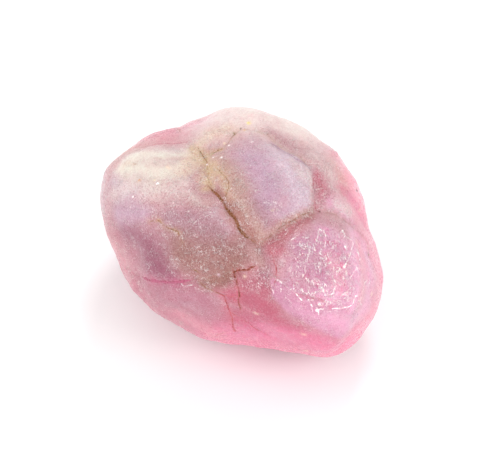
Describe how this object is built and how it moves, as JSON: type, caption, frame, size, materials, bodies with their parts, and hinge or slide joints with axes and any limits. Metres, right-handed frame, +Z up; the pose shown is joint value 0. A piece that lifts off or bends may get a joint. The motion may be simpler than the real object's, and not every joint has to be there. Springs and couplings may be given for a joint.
{
  "type": "tourmaline specimen",
  "caption": "Rough pink tourmaline nodule with rounded lobes, healed iron-stained cracks and a frosted, partly translucent skin.",
  "frame": {"origin": "on the resting flat, under the middle of the nodule's box", "axes": "+Z up from the resting flat, +X along the nodule's longest side, towards the glossy pink lobe"},
  "size_m": [0.0344, 0.026, 0.0233],
  "materials": {
    "tourmaline": "frosted and finely etched, glossy on the right lobe"
  },
  "bodies": {
    "root": {"tourmaline_nodule": "tourmaline"}
  },
  "joints": []
}
